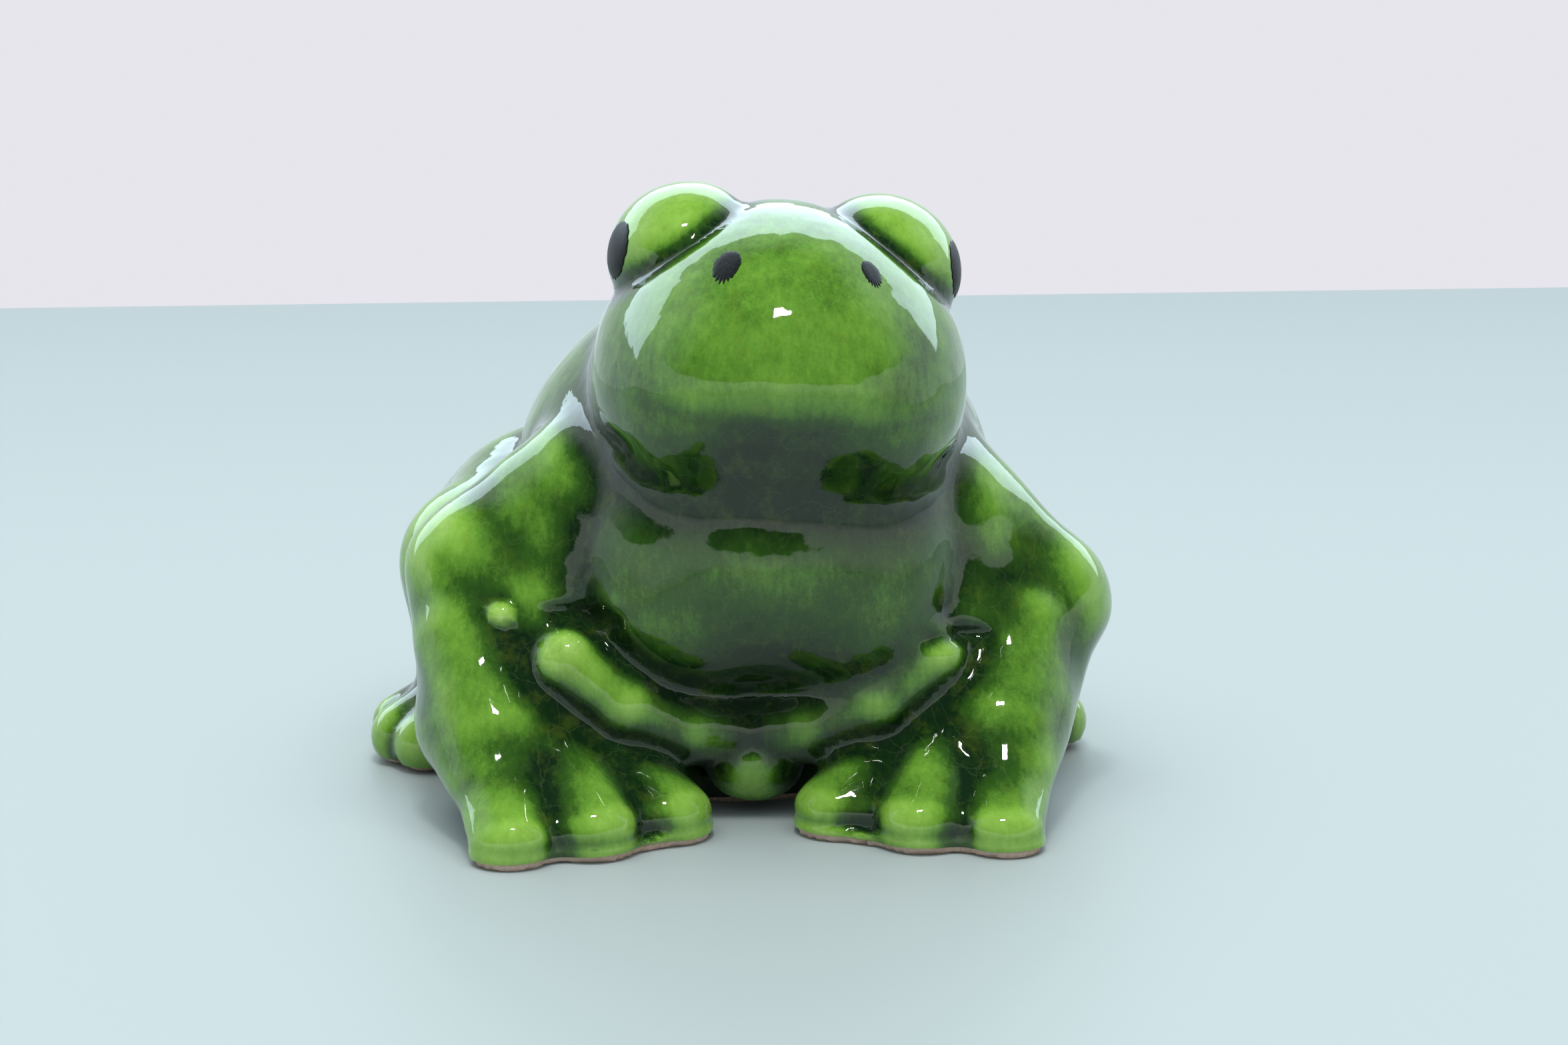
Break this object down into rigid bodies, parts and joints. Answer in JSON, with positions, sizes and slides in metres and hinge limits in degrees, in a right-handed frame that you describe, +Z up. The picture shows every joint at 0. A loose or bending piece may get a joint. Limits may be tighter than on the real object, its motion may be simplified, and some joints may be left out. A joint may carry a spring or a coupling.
{
  "type": "glazed ceramic frog figurine",
  "caption": "Hollow glazed earthenware figurine of a squatting frog with raised eyes and planted forelegs, free-standing on a flat foot.",
  "frame": {"origin": "on the standing surface, in the flat foot, midway between the two hands and between the two hind feet", "axes": "-Y towards the frog's nose, +X towards the frog's left hand, +Z up"},
  "size_m": [0.0916, 0.0952, 0.0748],
  "materials": {
    "bisque": "unglazed, fine-grained, matt bare clay, pinkish buff",
    "green_glaze": "glossy translucent green glaze, pale on ridges and near-black where it pools in creases, finely crazed",
    "black_enamel": "brushed black overglaze enamel, satin to gloss, ragged brush edges"
  },
  "bodies": {
    "root": {"clay_body": "bisque", "glaze_coat": "green_glaze", "nostril_right": "black_enamel", "nostril_left": "black_enamel", "pupil_right": "black_enamel", "pupil_left": "black_enamel"}
  },
  "joints": []
}
